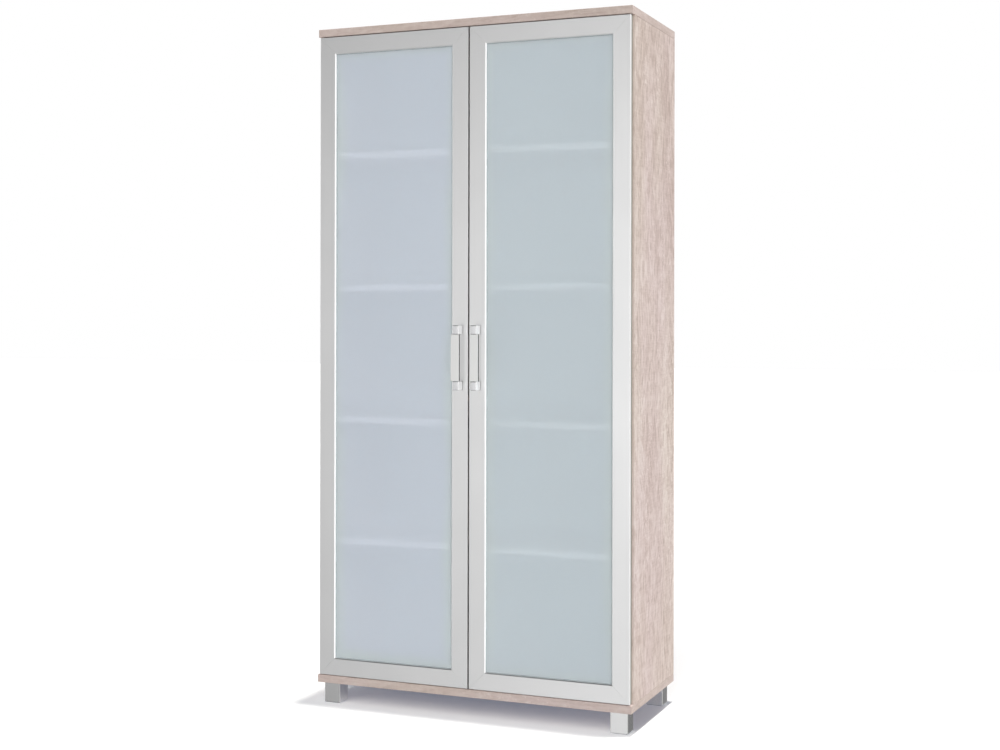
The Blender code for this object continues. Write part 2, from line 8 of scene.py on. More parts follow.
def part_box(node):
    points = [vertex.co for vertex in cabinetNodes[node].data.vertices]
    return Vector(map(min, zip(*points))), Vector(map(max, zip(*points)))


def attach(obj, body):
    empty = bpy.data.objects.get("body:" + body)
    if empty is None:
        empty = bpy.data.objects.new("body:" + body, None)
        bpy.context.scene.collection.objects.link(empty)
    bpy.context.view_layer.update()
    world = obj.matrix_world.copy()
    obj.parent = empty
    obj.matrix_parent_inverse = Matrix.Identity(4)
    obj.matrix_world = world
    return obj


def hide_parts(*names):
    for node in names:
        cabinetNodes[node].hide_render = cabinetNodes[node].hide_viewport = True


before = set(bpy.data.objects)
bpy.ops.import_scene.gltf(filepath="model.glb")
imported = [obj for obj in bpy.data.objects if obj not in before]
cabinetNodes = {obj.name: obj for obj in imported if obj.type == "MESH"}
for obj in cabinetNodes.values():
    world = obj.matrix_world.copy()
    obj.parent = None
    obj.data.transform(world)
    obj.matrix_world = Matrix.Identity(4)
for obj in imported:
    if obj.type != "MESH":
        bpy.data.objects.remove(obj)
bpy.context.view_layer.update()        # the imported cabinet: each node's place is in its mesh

sides = {"left": -1, "right": 1}
levels = ("top", "middle", "bottom")


# small helpers for materials

cloudSpan = (0.35, 0.65)     # a soft noise seldom leaves this range
lineSpan = (0.30, 0.70)      # nor a fine one this range


def toLinear(colour):
    # 0-255 screen colour to the linear value that a socket takes
    out = []
    for part in colour:
        share = part / 255
        out.append(share / 12.92 if share <= 0.04045 else ((share + 0.055) / 1.055) ** 2.4)
    return (*out, 1.0)


def addNode(tree, kind, inputs=None, **settings):
    node = tree.nodes.new(kind)
    for name, value in settings.items():
        setattr(node, name, value)
    for socket, value in (inputs or {}).items():
        if isinstance(value, bpy.types.NodeSocket):
            tree.links.new(value, node.inputs[socket])
        else:
            node.inputs[socket].default_value = value
    return node


def calc(tree, operation, *values):
    inputs = dict(enumerate(values))
    return addNode(tree, "ShaderNodeMath", inputs, operation=operation).outputs[0]


def spread(tree, value, fromLow, fromHigh, toLow=0.0, toHigh=1.0, smooth=False):
    # a value brought from one range to another, held at the ends
    kind = "SMOOTHSTEP" if smooth else "LINEAR"
    inputs = {0: value, 1: fromLow, 2: fromHigh, 3: toLow, 4: toHigh}
    return addNode(tree, "ShaderNodeMapRange", inputs, interpolation_type=kind).outputs[0]


def split(tree, vector):
    return addNode(tree, "ShaderNodeSeparateXYZ", {0: vector}).outputs


def blend(tree, share, first, second):
    return addNode(tree, "ShaderNodeMix", {0: share, 2: first, 3: second}).outputs[0]


def blendColours(tree, share, first, second, way="MIX"):
    inputs = {0: share, 6: first, 7: second}
    return addNode(tree, "ShaderNodeMix", inputs, data_type="RGBA", blend_type=way).outputs[2]


def shaded(tree, colour, shade):
    # a colour darkened by a value
    grey = addNode(tree, "ShaderNodeCombineXYZ", {0: shade, 1: shade, 2: shade}).outputs[0]
    return blendColours(tree, 1.0, colour, grey, "MULTIPLY")


def noise(tree, vector, scale, detail=2.0, roughness=0.5, distortion=0.0):
    inputs = {"Vector": vector, "Scale": scale, "Detail": detail, "Roughness": roughness,
              "Distortion": distortion}
    return addNode(tree, "ShaderNodeTexNoise", inputs).outputs[0]


def swing(tree, value):
    # a value counted from the middle of its range
    return calc(tree, "SUBTRACT", value, 0.5)


def stretched(tree, vector, stretch):
    inputs = {0: vector, 1: stretch}
    return addNode(tree, "ShaderNodeVectorMath", inputs, operation="MULTIPLY").outputs[0]


def bump(tree, height, strength, distance):
    inputs = {"Height": height, "Strength": strength, "Distance": distance}
    return addNode(tree, "ShaderNodeBump", inputs).outputs[0]


def newMaterial(name, roughness, metallic=0.0):
    material = bpy.data.materials.new(name)
    material.use_nodes = True
    shader = material.node_tree.nodes["Principled BSDF"]
    shader.inputs["Roughness"].default_value = roughness
    shader.inputs["Metallic"].default_value = metallic
    return material, material.node_tree, shader


# printed oak

oakLook = {
    "darkest": (188, 168, 158),
    "dark": (205, 187, 178),
    "middle": (218, 201, 193),
    "light": (233, 220, 213),
    "stops": {"darkest": 0.30, "dark": 0.42, "middle": 0.52, "light": 0.68},
    "yellower": (1.0, 1.0, 0.975),
    "pinker": (0.99, 0.965, 0.985),
    "outerFrontPaintedShade": 0.625,         # painted shade: the outer boards' banded front edges are darker than the faces
    # painted shade on the side panels' front edges
    "sideFrontPaintedShade": 0.81,
    "endShade": 0.94,
    "outerRoom": 0.010,         # the painted shade on front edges may begin this far inside the outer boards
    "edgeCalm": 0.45,           # how much of the pattern is left on narrow edges
    "faceLimit": 0.7,           # how squarely a face must look forward or sideways to be an edge
    "roughness": (0.62, 0.50),
    "relief": (0.22, 0.0004),   # strength and depth
    "wander": {                 # stretch along the grain and across it, how far the grain strays
        "wide": (3.0, 8.0, 0.034),
        "small": (15.0, 34.0, 0.012),
    },
    "layers": {                 # stretch along the grain and across it, distortion, strength
        "bands": (0.9, 7.0, 0.0, 0.38),
        "flames": (13.0, 30.0, 1.6, 0.46),
        "streaks": (34.0, 170.0, 0.5, 0.36),
        "sawMarks": (300.0, 20.0, 0.0, 0.18),
    },
    "layerRoughness": 0.55,
    "rings": {"along": 1.56, "across": 11.05, "distortion": 0.8, "turns": 75.0, "strength": 0.045},
    "torn": {"along": 2.4, "across": 13.0, "from": 0.46, "to": 0.64},
    "marks": {                  # stretches, where the marks begin and are full, strength
        "darkFlecks": (42.0, 240.0, 0.57, 0.72, -0.17),
        "lightFlecks": (95.0, 130.0, 0.58, 0.70, 0.28),
        "pores": (120.0, 1500.0, 0.60, 0.72, -0.05),
    },
    "markDistortion": 0.6,
    "drift": {"along": 1.6, "across": 5.0, "from": 0.36, "to": 0.64},
}


def grainNoise(tree, grain, along, across, detail=2.0, roughness=0.5, distortion=0.0):
    # noise stretched by one amount along the grain and by another across it
    vector = stretched(tree, grain, (along, across, across))
    return noise(tree, vector, 1.0, detail, roughness, distortion)


def oakGrain(tree, place, onEnd, upright):
    # coordinates whose X runs along the grain, which strays from straight widely and in ripples
    if upright:
        parts = {0: place["Z"], 1: place["Y"], 2: place["X"]}
    else:
        parts = {0: blend(tree, onEnd, place["X"], place["Y"]),
                 1: blend(tree, onEnd, place["Y"], place["X"]), 2: place["Z"]}
    straight = addNode(tree, "ShaderNodeCombineXYZ", parts).outputs[0]
    sideways = 0.0
    for along, across, reach in oakLook["wander"].values():
        step = swing(tree, grainNoise(tree, straight, along, across))
        sideways = calc(tree, "MULTIPLY_ADD", step, reach, sideways)
    sideStep = addNode(tree, "ShaderNodeCombineXYZ", {1: sideways, 2: sideways}).outputs[0]
    inputs = {0: straight, 1: sideStep}
    return addNode(tree, "ShaderNodeVectorMath", inputs, operation="ADD").outputs[0]


def oakTone(tree, grain):
    # the printed figure as one value, from dark to light
    tone = 0.5
    for along, across, distortion, strength in oakLook["layers"].values():
        layer = grainNoise(tree, grain, along, across, roughness=oakLook["layerRoughness"],
                           distortion=distortion)
        tone = calc(tree, "MULTIPLY_ADD", swing(tree, layer), strength, tone)
    # rings of the sawn log, cut through at a flat angle
    rings = oakLook["rings"]
    figure = grainNoise(tree, grain, rings["along"], rings["across"],
                        distortion=rings["distortion"])
    wave = calc(tree, "SINE", calc(tree, "MULTIPLY", figure, rings["turns"]))
    tone = calc(tree, "MULTIPLY_ADD", wave, rings["strength"], tone)
    # light flecks come in patches, where the saw has torn the grain
    torn = oakLook["torn"]
    patches = spread(tree, grainNoise(tree, grain, torn["along"], torn["across"]),
                     torn["from"], torn["to"])
    for mark, (along, across, begin, full, strength) in oakLook["marks"].items():
        marks = grainNoise(tree, grain, along, across, detail=1.0,
                           distortion=oakLook["markDistortion"])
        share = spread(tree, marks, begin, full)
        if mark == "lightFlecks":
            share = calc(tree, "MULTIPLY", share, patches)
        tone = calc(tree, "MULTIPLY_ADD", share, strength, tone)
    return tone


def oakPaintedShadeAndDarkerEnds(tree, place, onFront, onEnd, upright):
    # painted shade on the banded front edges, but not on the shelves' front edges; board ends are a
    # little darker
    if upright:
        return blend(tree, onFront, 1.0, oakLook["sideFrontPaintedShade"])
    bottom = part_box("bottom_board")[1].z
    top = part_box("top_board")[0].z
    fromMiddle = calc(tree, "ABSOLUTE", calc(tree, "SUBTRACT", place["Z"], (bottom + top) / 2))
    isOuter = calc(tree, "GREATER_THAN", fromMiddle, (top - bottom) / 2 - oakLook["outerRoom"])
    return blend(tree, calc(tree, "MULTIPLY", onFront, isOuter),
                 blend(tree, onEnd, 1.0, oakLook["endShade"]), oakLook["outerFrontPaintedShade"])


def oakLaminate(name, upright):
    # printed oak, its grain along Z on the sides and along X on boards and shelves
    material, tree, shader = newMaterial(name, oakLook["roughness"][0])
    coords = addNode(tree, "ShaderNodeTexCoord").outputs
    place = split(tree, coords["Object"])
    normal = split(tree, coords["Normal"])
    limit = oakLook["faceLimit"]
    onFront = calc(tree, "LESS_THAN", normal["Y"], -limit)
    onEnd = 0.0
    if not upright:
        onEnd = calc(tree, "GREATER_THAN", calc(tree, "ABSOLUTE", normal["X"]), limit)
    grain = oakGrain(tree, place, onEnd, upright)
    calm = blend(tree, calc(tree, "MAXIMUM", onFront, onEnd), 1.0, oakLook["edgeCalm"])
    tone = calc(tree, "MULTIPLY_ADD", swing(tree, oakTone(tree, grain)), calm, 0.5)
    ramp = addNode(tree, "ShaderNodeValToRGB", {0: tone})
    stops = ramp.color_ramp.elements
    stops.remove(stops[1])
    for shade, position in oakLook["stops"].items():
        stop = stops[0] if shade == "darkest" else stops.new(position)
        stop.position = position
        stop.color = toLinear(oakLook[shade])
    # a slow drift between a yellower and a pinker beige
    drift = oakLook["drift"]
    slow = grainNoise(tree, grain, drift["along"], drift["across"], detail=1.0)
    tint = blendColours(tree, spread(tree, slow, drift["from"], drift["to"]),
                        (*oakLook["yellower"], 1.0), (*oakLook["pinker"], 1.0))
    colour = blendColours(tree, 1.0, ramp.outputs[0], tint, "MULTIPLY")
    # painted shade on the front edges, and darker board ends
    colour = shaded(tree, colour, oakPaintedShadeAndDarkerEnds(tree, place, onFront, onEnd, upright))
    tree.links.new(colour, shader.inputs["Base Color"])
    tree.links.new(spread(tree, tone, *cloudSpan, *oakLook["roughness"]),
                   shader.inputs["Roughness"])
    tree.links.new(bump(tree, tone, *oakLook["relief"]), shader.inputs["Normal"])
    return material


# metals

metalKinds = {
    "satinAluminium": {"colour": (0.80, 0.80, 0.80), "roughness": 0.38, "lines": 0.02, "metal": 1.0,
                       "highlightSideMetal": 0.15},
    "footAluminium": {"colour": (0.80, 0.80, 0.80), "roughness": 0.22, "lines": 0.02, "metal": 1.0,
                      "padHeight": 0.00105},
    "brightPlate": {"colour": (0.67, 0.67, 0.68), "roughness": 0.24, "lines": 0.01, "metal": 1.0,
                    "highlightSideMetal": 0.15},
    "mattGrip": {"colour": (0.80, 0.80, 0.79), "roughness": 0.45, "lines": 0.02, "metal": 0.75,
                 "highlightSideMetal": 0.15},
    "nickelSteel": {"colour": (0.66, 0.65, 0.62), "roughness": 0.24, "lines": 0.04, "metal": 1.0},
}
metalLook = {
    "lines": (1.0, 2.0, 0.6),       # scale, detail and roughness of each noise
    "cloud": (5.0, 2.0, 0.5),
    "darker": 0.97,
    "relief": (0.02, 0.00005),
    # painted highlight: faces that look sideways take this pale colour
    "side": (0.94, 0.94, 0.94),
    "sideLimit": 0.65,              # how squarely a face must look sideways to get the painted highlight
    "pad": (0.03, 0.03, 0.032),
    "padRoughness": 0.55,
}
doorEdge = {
    "gapHalf": 0.006,               # nearer the cabinet's middle than this is the doors' gap
    "wallDepth": 0.0095,            # from a door's face to the painted shade on its edge
    # painted shade on the rear half of a door's edge
    "paintedRearShade": (0.30, 0.31, 0.27),
}
gripShade = {
    "value": 0.84,
    "past": 0.0035,                 # how far the painted shade reaches past the grip's inner edge
    "short": 0.0010,                # how far it stays short of the grip's outer edge
    "end": 0.0015,                  # and of the posts
    "soft": 0.004,
}


def shadeBehindGrip(tree, place, colour):
    # painted shade: the stile is darker where the grip stands close in front of it
    gripLow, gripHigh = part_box("right_handle_grip")
    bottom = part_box("right_handle_bottom_post")[1].z + gripShade["end"]
    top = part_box("right_handle_top_post")[0].z - gripShade["end"]
    inner = gripLow.x - gripShade["past"]
    outer = gripHigh.x - gripShade["short"]
    soft = gripShade["soft"]
    across = calc(tree, "ABSOLUTE", place["X"])
    share = 1.0
    for value, start, end in ((across, inner, outer), (place["Z"], bottom, top)):
        rise = spread(tree, value, start - soft, start + soft, smooth=True)
        fall = spread(tree, value, end - soft, end + soft, 1.0, 0.0, smooth=True)
        share = calc(tree, "MULTIPLY", share, calc(tree, "MULTIPLY", rise, fall))
    return shaded(tree, colour, blend(tree, share, 1.0, gripShade["value"]))


def metalFinish(name, kind, stretch):
    # metal with fine lines along its length, a faint cloudiness and side faces painted paler as a
    # painted highlight; on the door frames also painted shade
    values = metalKinds[kind]
    material, tree, shader = newMaterial(name, values["roughness"], values["metal"])
    coords = addNode(tree, "ShaderNodeTexCoord").outputs
    place = split(tree, coords["Object"])
    lines = noise(tree, stretched(tree, coords["Object"], stretch), *metalLook["lines"])
    cloud = noise(tree, coords["Object"], *metalLook["cloud"])
    darker = [part * metalLook["darker"] for part in values["colour"]]
    colour = blendColours(tree, spread(tree, cloud, *cloudSpan), (*darker, 1.0),
                          (*values["colour"], 1.0))
    low = values["roughness"] - values["lines"]
    high = values["roughness"] + values["lines"]
    roughness = spread(tree, lines, *lineSpan, low, high)
    # painted highlight: side faces paler and less metallic
    if "highlightSideMetal" in values:
        sideways = calc(tree, "ABSOLUTE", split(tree, coords["Normal"])["X"])
        onPaintedHighlight = calc(tree, "GREATER_THAN", sideways, metalLook["sideLimit"])
        side = (*metalLook["side"], 1.0)
        if kind == "satinAluminium":
            # not between the doors, and the rear half of a door's edge has painted shade
            across = calc(tree, "ABSOLUTE", place["X"])
            away = calc(tree, "GREATER_THAN", across, doorEdge["gapHalf"])
            onPaintedHighlight = calc(tree, "MULTIPLY", onPaintedHighlight, away)
            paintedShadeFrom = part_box("left_door_hinge_stile")[0].y + doorEdge["wallDepth"]
            inPaintedRearShade = calc(tree, "GREATER_THAN", place["Y"], paintedShadeFrom)
            side = blendColours(tree, inPaintedRearShade, side, (*doorEdge["paintedRearShade"], 1.0))
            colour = shadeBehindGrip(tree, place, colour)
        colour = blendColours(tree, onPaintedHighlight, colour, side)
        tree.links.new(blend(tree, onPaintedHighlight, values["metal"], values["highlightSideMetal"]),
                       shader.inputs["Metallic"])
    if "padHeight" in values:
        # the glide under a foot is dark plastic
        onPad = calc(tree, "LESS_THAN", place["Z"], values["padHeight"])
        colour = blendColours(tree, onPad, colour, (*metalLook["pad"], 1.0))
        roughness = blend(tree, onPad, roughness, metalLook["padRoughness"])
        tree.links.new(calc(tree, "SUBTRACT", 1.0, onPad), shader.inputs["Metallic"])
    tree.links.new(colour, shader.inputs["Base Color"])
    tree.links.new(roughness, shader.inputs["Roughness"])
    tree.links.new(bump(tree, lines, *metalLook["relief"]), shader.inputs["Normal"])
    return material


# glass, back board and plastics

glassLook = {
    # painted shade: the right pane is a little darker and less blue than the left
    "middle": {"left": (0.850, 0.918, 0.996), "right": (0.824, 0.908, 0.955)},
    "edge": (0.840, 0.922, 0.938),
    "edgeWidth": 0.045,
    "edgeWander": 0.05,
    "roughness": 0.30,
    "transmission": 0.66,
    "index": 1.25,
    "cloud": (3.0, 1.0),            # scale and detail of each noise
    "etching": (2600.0, 1.0),
    "relief": (0.02, 0.00005),
}


def frostedGlass(name, node):
    # satin glass, greener towards the pane's edges
    low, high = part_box(node)
    centre = (low + high) / 2
    half = (high - low) / 2
    material, tree, shader = newMaterial(name, glassLook["roughness"])
    shader.inputs["Transmission Weight"].default_value = glassLook["transmission"]
    shader.inputs["IOR"].default_value = glassLook["index"]
    coords = addNode(tree, "ShaderNodeTexCoord").outputs["Object"]
    place = addNode(tree, "ShaderNodeVectorMath", {0: coords, 1: centre}, operation="SUBTRACT")
    parts = split(tree, place.outputs[0])
    fromSide = calc(tree, "SUBTRACT", half.x, calc(tree, "ABSOLUTE", parts["X"]))
    fromEnd = calc(tree, "SUBTRACT", half.z, calc(tree, "ABSOLUTE", parts["Z"]))
    inside = calc(tree, "MINIMUM", fromSide, fromEnd)
    cloud = swing(tree, noise(tree, coords, *glassLook["cloud"]))
    inside = calc(tree, "MULTIPLY_ADD", cloud, glassLook["edgeWander"], inside)
    share = spread(tree, inside, 0.0, glassLook["edgeWidth"], smooth=True)
    middle = glassLook["middle"][node.split("_")[0]]
    colour = blendColours(tree, share, (*glassLook["edge"], 1.0), (*middle, 1.0))
    tree.links.new(colour, shader.inputs["Base Color"])
    etching = noise(tree, coords, *glassLook["etching"])
    tree.links.new(bump(tree, etching, *glassLook["relief"]), shader.inputs["Normal"])
    return material


boardLook = {
    "printed": (226, 218, 210),
    "printedDark": (220, 211, 203),
    "raw": (150, 118, 90),
    "rawDark": (118, 88, 64),
    "roughness": 0.6,
    "fibre": (420.0, 5.0, 0.7),     # scale, detail and roughness of each noise
    "mottle": (18.0, 3.0, 0.6),
    "fibreShare": 0.6,
    "faceLimit": 0.5,
    "relief": (0.15, 0.0002),
}


def backBoard(name):
    # thin board: printed inside, brown pressed fibre behind
    material, tree, shader = newMaterial(name, boardLook["roughness"])
    coords = addNode(tree, "ShaderNodeTexCoord").outputs
    onBack = calc(tree, "GREATER_THAN", split(tree, coords["Normal"])["Y"], boardLook["faceLimit"])
    fibre = noise(tree, coords["Object"], *boardLook["fibre"])
    mottle = noise(tree, coords["Object"], *boardLook["mottle"])
    rawShare = spread(tree, blend(tree, boardLook["fibreShare"], mottle, fibre), *cloudSpan)
    raw = blendColours(tree, rawShare, toLinear(boardLook["rawDark"]), toLinear(boardLook["raw"]))
    printed = blendColours(tree, spread(tree, mottle, *cloudSpan),
                           toLinear(boardLook["printedDark"]), toLinear(boardLook["printed"]))
    tree.links.new(blendColours(tree, onBack, printed, raw), shader.inputs["Base Color"])
    tree.links.new(bump(tree, fibre, *boardLook["relief"]), shader.inputs["Normal"])
    return material


plasticKinds = {
    "seal": {"colour": (182, 189, 193), "roughness": 0.55},
    # painted shade: the grip's core is this dark to stand for the shade beside the plate
    "core": {"colour": (36, 37, 39), "roughness": 0.50},
    "cap": {"colour": (214, 202, 192), "roughness": 0.42},
}
plasticLook = {
    "skin": (1400.0, 3.0, 0.6),     # scale, detail and roughness of each noise
    "cloud": (60.0, 2.0, 0.5),
    "darker": 0.93,
    "roughnessSwing": 0.06,
    "relief": (0.08, 0.0001),
}


def mouldedPlastic(name, kind):
    # moulded plastic or rubber with a fine skin
    colour = plasticKinds[kind]["colour"]
    roughness = plasticKinds[kind]["roughness"]
    material, tree, shader = newMaterial(name, roughness)
    coords = addNode(tree, "ShaderNodeTexCoord").outputs["Object"]
    skin = noise(tree, coords, *plasticLook["skin"])
    cloud = noise(tree, coords, *plasticLook["cloud"])
    darker = toLinear([part * plasticLook["darker"] for part in colour])
    tree.links.new(blendColours(tree, spread(tree, cloud, *cloudSpan), darker, toLinear(colour)),
                   shader.inputs["Base Color"])
    change = plasticLook["roughnessSwing"]
    tree.links.new(spread(tree, skin, *lineSpan, roughness - change, roughness + change),
                   shader.inputs["Roughness"])
    tree.links.new(bump(tree, skin, *plasticLook["relief"]), shader.inputs["Normal"])
    return material


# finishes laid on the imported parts

def dress(piece, material):
    piece.data.materials.clear()
    piece.data.materials.append(material)


uprightStretch = (900.0, 900.0, 6.0)
levelStretch = (6.0, 900.0, 900.0)
evenStretch = (300.0, 300.0, 300.0)
oakUpright = oakLaminate("oak upright grain", True)
oakLevel = oakLaminate("oak level grain", False)
aluminiumUpright = metalFinish("satin aluminium upright", "satinAluminium", uprightStretch)
aluminiumLevel = metalFinish("satin aluminium level", "satinAluminium", levelStretch)
footMetal = metalFinish("satin aluminium foot", "footAluminium", uprightStretch)
brightPlate = metalFinish("bright plate", "brightPlate", levelStretch)
gripMetal = metalFinish("matt grip", "mattGrip", uprightStretch)
nickelSteel = metalFinish("nickel steel", "nickelSteel", evenStretch)
fibreBoard = backBoard("back board")
sealRubber = mouldedPlastic("seal rubber", "seal")
paintedShadeCore = mouldedPlastic("grip core painted dark as shade", "core")
capPlastic = mouldedPlastic("cap plastic", "cap")

for name, node in cabinetNodes.items():
    if name.startswith("side_panel"):
        dress(node, oakUpright)
    elif name.endswith("_board") or (name.startswith("shelf_") and "support" not in name):
        dress(node, oakLevel)
    elif name == "back_panel":
        dress(node, fibreBoard)
    elif name.endswith("_stile"):
        dress(node, aluminiumUpright)
    elif name.endswith("_rail"):
        dress(node, aluminiumLevel)
    elif name.endswith("_glass"):
        dress(node, frostedGlass("frosted " + name, name))
    elif name.startswith("foot_"):
        dress(node, footMetal)
    elif name.endswith("_post"):
        dress(node, brightPlate)
    elif name.endswith("_grip"):
        dress(node, gripMetal)
    else:
        dress(node, nickelSteel)
print("finishes laid on the cabinet")


# helpers for modelling: a primitive first, then edit mode

squareOn = 0.99          # how squarely a face must look along an axis to be picked
nearlyWhole = 0.9        # how much of an edge's length must run along an axis
closeBy = 0.00005        # how far from a height a point may lie to be on it


def startBox(name, low, high):
    bpy.ops.object.select_all(action="DESELECT")
    middle = [(a + b) / 2 for a, b in zip(low, high)]
    size = [b - a for a, b in zip(low, high)]
    bpy.ops.mesh.primitive_cube_add(size=1.0, location=middle, scale=size)
    piece = bpy.context.object
    piece.name = name
    bpy.ops.object.transform_apply(location=True, rotation=True, scale=True)
    return piece


def startDisc(name, radius, height, steps):
    # stands on the origin, its axis along Z
    bpy.ops.object.select_all(action="DESELECT")
    bpy.ops.mesh.primitive_cylinder_add(vertices=steps, radius=radius, depth=height,
                                        location=(0.0, 0.0, height / 2))
    piece = bpy.context.object
    piece.name = name
    bpy.ops.object.transform_apply(location=True, rotation=True, scale=True)
    return piece


def pick(piece, test, kind="FACE"):
    # edit mode, with only the faces or edges that pass the test selected
    bpy.context.view_layer.objects.active = piece
    if piece.mode != "EDIT":
        bpy.ops.object.mode_set(mode="EDIT")
    bpy.ops.mesh.select_mode(type=kind)
    bpy.ops.mesh.select_all(action="DESELECT")
    mesh = bmesh.from_edit_mesh(piece.data)
    mesh.normal_update()
    for part in (mesh.faces if kind == "FACE" else mesh.edges):
        if test(part):
            part.select_set(True)
    bmesh.update_edit_mesh(piece.data)


def looksAlong(axis, way=1):
    # a test for the faces that look along an axis
    return lambda face: face.normal[axis] * way > squareOn


def runsAlong(edge, axis):
    step = edge.verts[1].co - edge.verts[0].co
    return abs(step[axis]) > nearlyWhole * step.length


def atHeight(edge, axis, value):
    return all(abs(vertex.co[axis] - value) < closeBy for vertex in edge.verts)


def backToObject(piece, angle=35.0):
    # out of edit mode, normals outward, edges under the angle smooth and flat faces kept flat
    bpy.context.view_layer.objects.active = piece
    if piece.mode != "EDIT":
        bpy.ops.object.mode_set(mode="EDIT")
    bpy.ops.mesh.select_all(action="SELECT")
    bpy.ops.mesh.normals_make_consistent(inside=False)
    bpy.ops.object.mode_set(mode="OBJECT")
    bpy.ops.object.select_all(action="DESELECT")
    piece.select_set(True)
    bpy.ops.object.shade_smooth_by_angle(angle=math.radians(angle))
    modifier = piece.modifiers.new("even normals", "WEIGHTED_NORMAL")
    modifier.keep_sharp = True
    bpy.ops.object.modifier_apply(modifier=modifier.name)


def cutAway(piece, tool):
    bpy.ops.object.select_all(action="DESELECT")
    piece.select_set(True)
    bpy.context.view_layer.objects.active = piece
    modifier = piece.modifiers.new("cut", "BOOLEAN")
    modifier.operation = "DIFFERENCE"
    modifier.solver = "EXACT"
    modifier.object = tool
    bpy.ops.object.modifier_apply(modifier=modifier.name)
    bpy.data.objects.remove(tool, do_unlink=True)


def roundRim(disc, height, radius, steps):
    pick(disc, lambda edge: atHeight(edge, 2, height), "EDGE")
    bpy.ops.mesh.bevel(offset=radius, segments=steps, affect="EDGES")


def cutCross(disc, height, long, narrow, floor):
    # two slots from above, down to the cross's floor
    bpy.ops.object.mode_set(mode="OBJECT")
    for reachX, reachY in ((long, narrow), (narrow, long)):
        slot = startBox("cross slot", (-reachX, -reachY, floor), (reachX, reachY, height * 2))
        cutAway(disc, slot)


def facingMatrix(place, direction):
    # carries a shape that stands on the origin along Z to a place, turned towards a direction
    turn = Vector(direction).to_track_quat("Z", "Y").to_matrix().to_4x4()
    return Matrix.Translation(Vector(place)) @ turn


def copyTo(name, placed):
    # a copy of each shape at its matrix, each with its own mesh, joined to one piece
    bpy.ops.object.select_all(action="DESELECT")
    copies = []
    for source, matrix in placed:
        copy = source.copy()
        copy.data = source.data.copy()
        copy.data.transform(matrix)
        bpy.context.scene.collection.objects.link(copy)
        copy.select_set(True)
        copies.append(copy)
    bpy.context.view_layer.objects.active = copies[0]
    bpy.ops.object.join()
    copies[0].name = name
    return copies[0]


def finishPiece(piece, material, body):
    dress(piece, material)
    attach(piece, body)


# handles: a flat grip plate on a core painted dark as shade, between two bright end posts

handleLook = {
    "plateThickness": 0.0022,
    "plateRound": 0.0008,
    "plateSteps": 4,
    "plateInner": 0.0010,      # how much further out than its solid's edges the plate's edges lie
    "plateOuter": 0.0026,
    "seatDepth": 0.0004,
    "seatArea": 0.0005,        # the plate's broad back face is larger than this
    "coreInset": 0.0003,
    "coreRound": 0.0008,
    "coreSteps": 3,
    "tenonInset": 0.0011,
    "tenonHalf": 0.0060,
    "postRound": 0.0020,
    "postSteps": 4,
    "neckInset": 0.0010,
    "neckHeight": 0.0009,
    "pocketRoom": 0.0003,
    "postSmooth": 40.0,        # degrees
}


def gripSpan(side):
    # the free height between the posts, and the plane between plate and core
    room = handleLook["pocketRoom"]
    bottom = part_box(side + "_handle_bottom_post")[1].z + room
    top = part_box(side + "_handle_top_post")[0].z - room
    return bottom, top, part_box(side + "_handle_grip")[0].y + handleLook["plateThickness"]


def gripBox(side):
    # the plate's and the core's edges, a little further from the doors' gap than the solid's
    low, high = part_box(side + "_handle_grip")
    inner = Vector((handleLook["plateInner"], 0.0, 0.0))
    outer = Vector((handleLook["plateOuter"], 0.0, 0.0))
    if side == "left":
        return low - outer, high - inner
    return low + inner, high + outer


def withoutTrace(piece):
    # leaves no shadow on the panes and no reflection in the satin frame
    piece.visible_glossy = False
    piece.visible_shadow = False


def gripPlate(side):
    low, high = gripBox(side)
    bottom, top, plateBack = gripSpan(side)
    plate = startBox(side + "_grip_plate", (low.x, low.y, bottom), (high.x, plateBack, top))
    pick(plate, lambda edge: runsAlong(edge, 2)
         or (runsAlong(edge, 0) and atHeight(edge, 1, low.y)), "EDGE")
    bpy.ops.mesh.bevel(offset=handleLook["plateRound"], segments=handleLook["plateSteps"],
                       affect="EDGES")
    # a shallow seat for the core
    isBack = looksAlong(1)
    pick(plate, lambda face: isBack(face) and face.calc_area() > handleLook["seatArea"])
    bpy.ops.mesh.inset(thickness=handleLook["coreInset"])
    bpy.ops.mesh.extrude_region_move(
        TRANSFORM_OT_translate={"value": (0.0, -handleLook["seatDepth"], 0.0)})
    backToObject(plate)
    finishPiece(plate, gripMetal, side + "_door")
    withoutTrace(plate)
    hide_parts(side + "_handle_grip")


def gripCore(side):
    # a strip behind the plate, painted dark as shade; its narrower ends sit in the posts
    low, high = gripBox(side)
    bottom, top, plateBack = gripSpan(side)
    inset = handleLook["coreInset"]
    middle = (low.x + high.x) / 2
    solidLow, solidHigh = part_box(side + "_handle_grip")
    toPost = (solidLow.x + solidHigh.x) / 2 - middle
    core = startBox(side + "_grip_painted_shade_core", (low.x + inset, plateBack, bottom),
                    (high.x - inset, high.y, top))
    pick(core, lambda edge: runsAlong(edge, 2) and atHeight(edge, 1, high.y), "EDGE")
    bpy.ops.mesh.bevel(offset=handleLook["coreRound"], segments=handleLook["coreSteps"],
                       affect="EDGES")
    half = (high.x - low.x) / 2 - inset - handleLook["tenonInset"]
    for level, reach, way in ((bottom, low.z - bottom, -1), (top, high.z - top, 1)):
        pick(core, looksAlong(2, way))
        bpy.ops.mesh.inset(thickness=handleLook["tenonInset"])
        bpy.ops.transform.resize(value=(handleLook["tenonHalf"] / half, 1.0, 1.0),
                                 center_override=(middle, high.y, level))
        bpy.ops.transform.translate(value=(toPost, 0.0, 0.0))
        bpy.ops.mesh.extrude_region_move(TRANSFORM_OT_translate={"value": (0.0, 0.0, reach)})
    backToObject(core)
    finishPiece(core, paintedShadeCore, side + "_door")
    withoutTrace(core)


